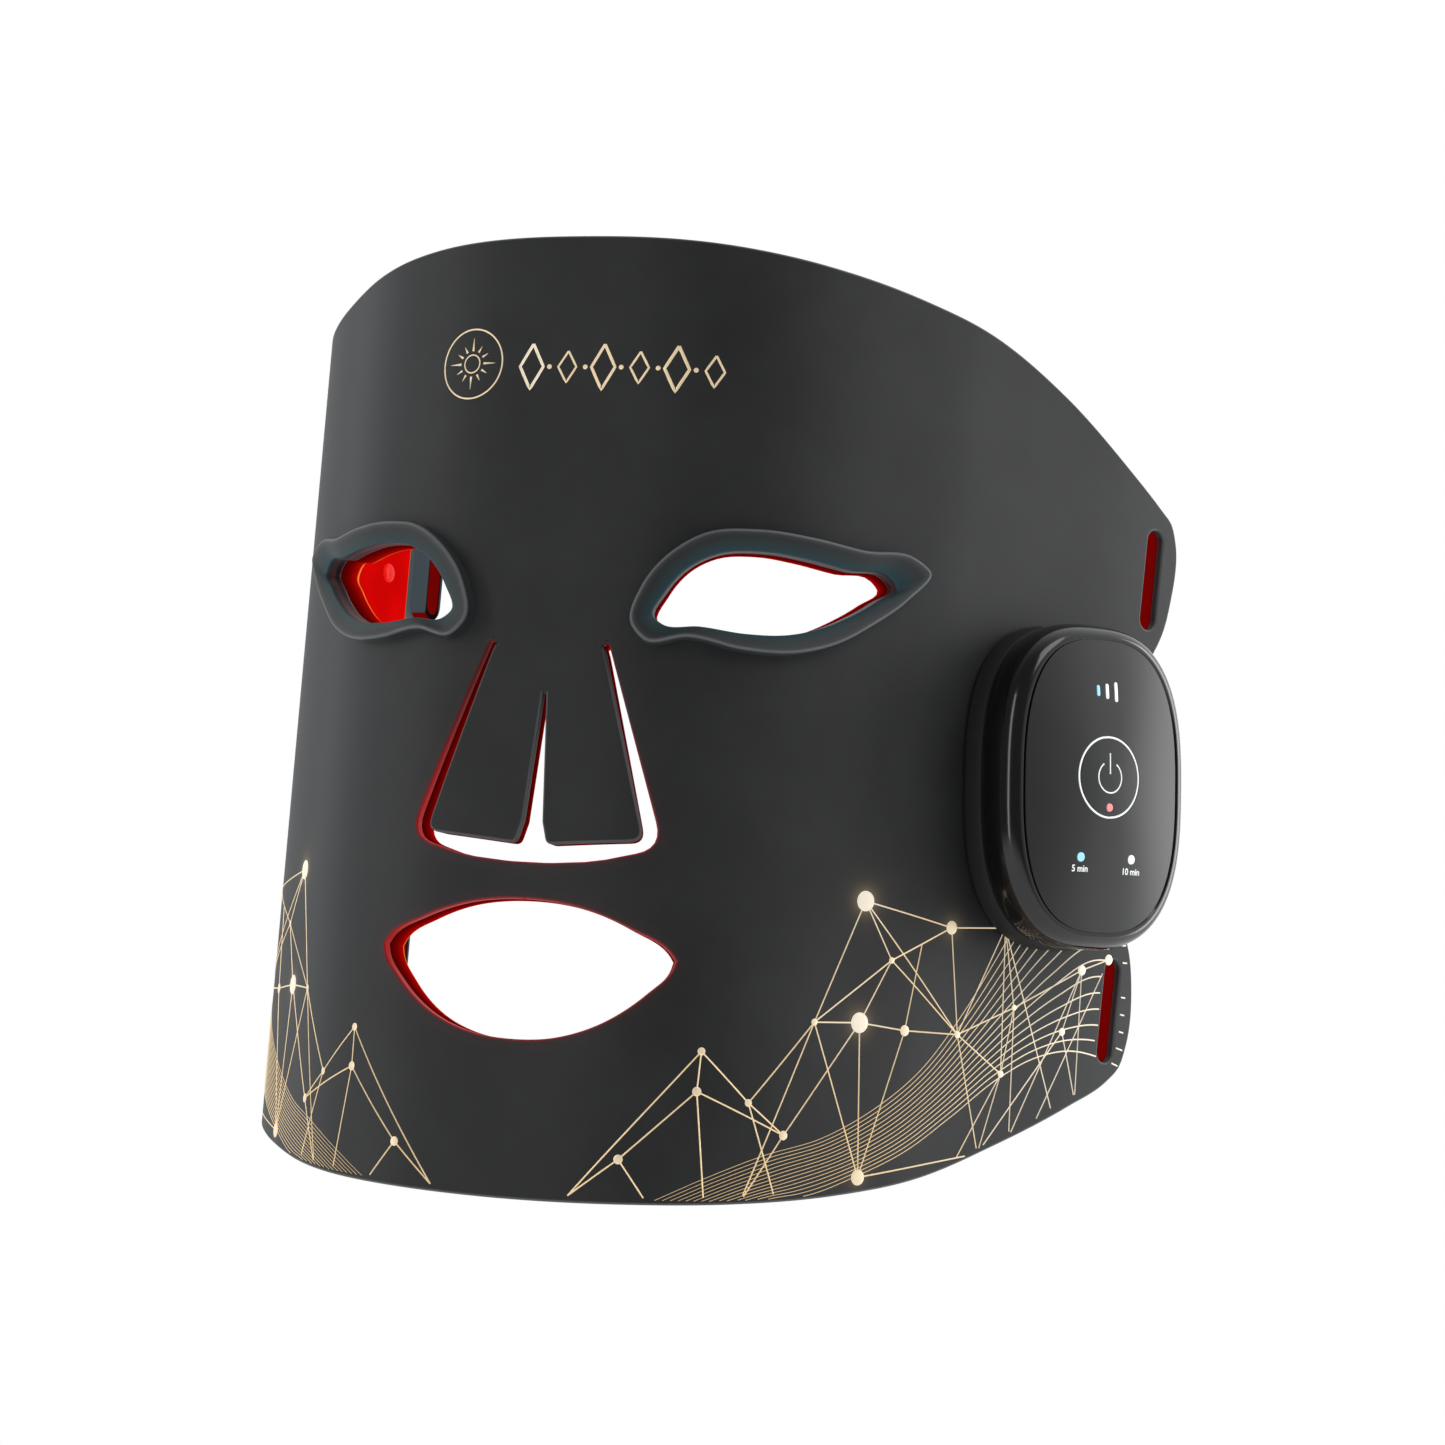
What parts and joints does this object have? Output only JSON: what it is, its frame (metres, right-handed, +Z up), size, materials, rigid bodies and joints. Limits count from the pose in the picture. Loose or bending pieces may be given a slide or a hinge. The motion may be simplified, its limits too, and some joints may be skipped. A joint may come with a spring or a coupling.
{
  "type": "led face mask",
  "caption": "Flexible silicone light-therapy face mask with lined face side, raised eye rims, nose flaps, strap tabs and a control pod on one wing.",
  "frame": {"origin": "lower middle of the outer skin, on the chin edge", "axes": "+X to the wearer's left, where the pod is; the outer face looks to -Y and the wearer's head is at +Y; +Z up"},
  "size_m": [0.202, 0.1089, 0.203],
  "materials": {
    "front_skin": "matte moulded silicone",
    "carrier_centre": "soft potting layer",
    "liner_centre": "translucent silicone lit red from within",
    "flex_forehead": "flexible printed circuit with light packages",
    "flex_chin": "flexible printed circuit with light packages",
    "flex_cheek_left": "flexible printed circuit with light packages",
    "flex_cheek_right": "flexible printed circuit with light packages",
    "eye_collar_left": "matte moulded silicone",
    "eye_collar_right": "matte moulded silicone",
    "wing_skin_left": "matte moulded silicone",
    "carrier_left": "soft potting layer",
    "liner_left": "translucent silicone lit red from within",
    "flex_wing_left": "flexible printed circuit with light packages",
    "pod_tray": "matte black",
    "pod_gasket": "matte black",
    "pod_shell": "piano black",
    "pod_cover": "satin black",
    "ring_light": "white light guide",
    "level_bar_1": "white light guide",
    "level_bar_2": "white light guide",
    "level_bar_3": "white light guide",
    "timer_lens_1": "blue lens",
    "timer_lens_2": "white light guide",
    "main_board": "green solder mask",
    "board_screw_1": "bright steel",
    "board_screw_2": "bright steel",
    "board_screw_3": "bright steel",
    "board_screw_4": "bright steel",
    "tact_switch": "black plastic",
    "timer_led_1": "clear resin",
    "timer_led_2": "clear resin",
    "level_led_1": "clear resin",
    "level_led_2": "clear resin",
    "level_led_3": "clear resin",
    "battery_cell": "silver pouch",
    "usb_c_socket": "plated steel shell",
    "ribbon_cable": "amber film",
    "wing_skin_right": "matte moulded silicone",
    "carrier_right": "soft potting layer",
    "liner_right": "translucent silicone lit red from within",
    "flex_wing_right": "flexible printed circuit with light packages",
    "nose_flap_left": "matte moulded silicone",
    "flap_liner_left": "translucent silicone lit red from within",
    "nose_flap_right": "matte moulded silicone",
    "flap_liner_right": "translucent silicone lit red from within",
    "power_button": "satin black",
    "status_lens": "red lens"
  },
  "bodies": {
    "mask": {"front_skin": "front_skin", "carrier_centre": "carrier_centre", "liner_centre": "liner_centre", "flex_forehead": "flex_forehead", "flex_chin": "flex_chin", "flex_cheek_left": "flex_cheek_left", "flex_cheek_right": "flex_cheek_right", "eye_collar_left": "eye_collar_left", "eye_collar_right": "eye_collar_right"},
    "left_wing": {"wing_skin_left": "wing_skin_left", "carrier_left": "carrier_left", "liner_left": "liner_left", "flex_wing_left": "flex_wing_left", "pod_tray": "pod_tray", "pod_gasket": "pod_gasket", "pod_shell": "pod_shell", "pod_cover": "pod_cover", "ring_light": "ring_light", "level_bar_1": "level_bar_1", "level_bar_2": "level_bar_2", "level_bar_3": "level_bar_3", "timer_lens_1": "timer_lens_1", "timer_lens_2": "timer_lens_2", "main_board": "main_board", "board_screw_1": "board_screw_1", "board_screw_2": "board_screw_2", "board_screw_3": "board_screw_3", "board_screw_4": "board_screw_4", "tact_switch": "tact_switch", "timer_led_1": "timer_led_1", "timer_led_2": "timer_led_2", "level_led_1": "level_led_1", "level_led_2": "level_led_2", "level_led_3": "level_led_3", "battery_cell": "battery_cell", "usb_c_socket": "usb_c_socket", "ribbon_cable": "ribbon_cable"},
    "right_wing": {"wing_skin_right": "wing_skin_right", "carrier_right": "carrier_right", "liner_right": "liner_right", "flex_wing_right": "flex_wing_right"},
    "left_flap": {"nose_flap_left": "nose_flap_left", "flap_liner_left": "flap_liner_left"},
    "right_flap": {"nose_flap_right": "nose_flap_right", "flap_liner_right": "flap_liner_right"},
    "button": {"power_button": "power_button", "status_lens": "status_lens"}
  },
  "joints": [
    {"name": "left_wing_flex", "type": "hinge", "parent": "mask", "child": "left_wing", "pos_m": [0.07464, 0.04325, 0.1], "axis": [-0.0187, -0.0108, -0.9998], "range_deg": [0, 25], "stiffness_Nm_per_rad": 0.2},
    {"name": "right_wing_flex", "type": "hinge", "parent": "mask", "child": "right_wing", "pos_m": [-0.07464, 0.04325, 0.1], "axis": [-0.0187, 0.0108, 0.9998], "range_deg": [0, 25], "stiffness_Nm_per_rad": 0.2},
    {"name": "left_flap_lift", "type": "hinge", "parent": "mask", "child": "left_flap", "pos_m": [0.00602, 0.00007, 0.1093], "axis": [-0.7505, -0.0087, -0.6608], "range_deg": [0, 22], "stiffness_Nm_per_rad": 0.02},
    {"name": "right_flap_lift", "type": "hinge", "parent": "mask", "child": "right_flap", "pos_m": [-0.00602, 0.00007, 0.1093], "axis": [-0.7505, 0.0087, 0.6608], "range_deg": [0, 22], "stiffness_Nm_per_rad": 0.02},
    {"name": "button_press", "type": "slide", "parent": "left_wing", "child": "button", "axis": [-0.8141, 0.5807, 0.0089], "range_m": [0, 0.0006], "stiffness_N_per_m": 600}
  ]
}
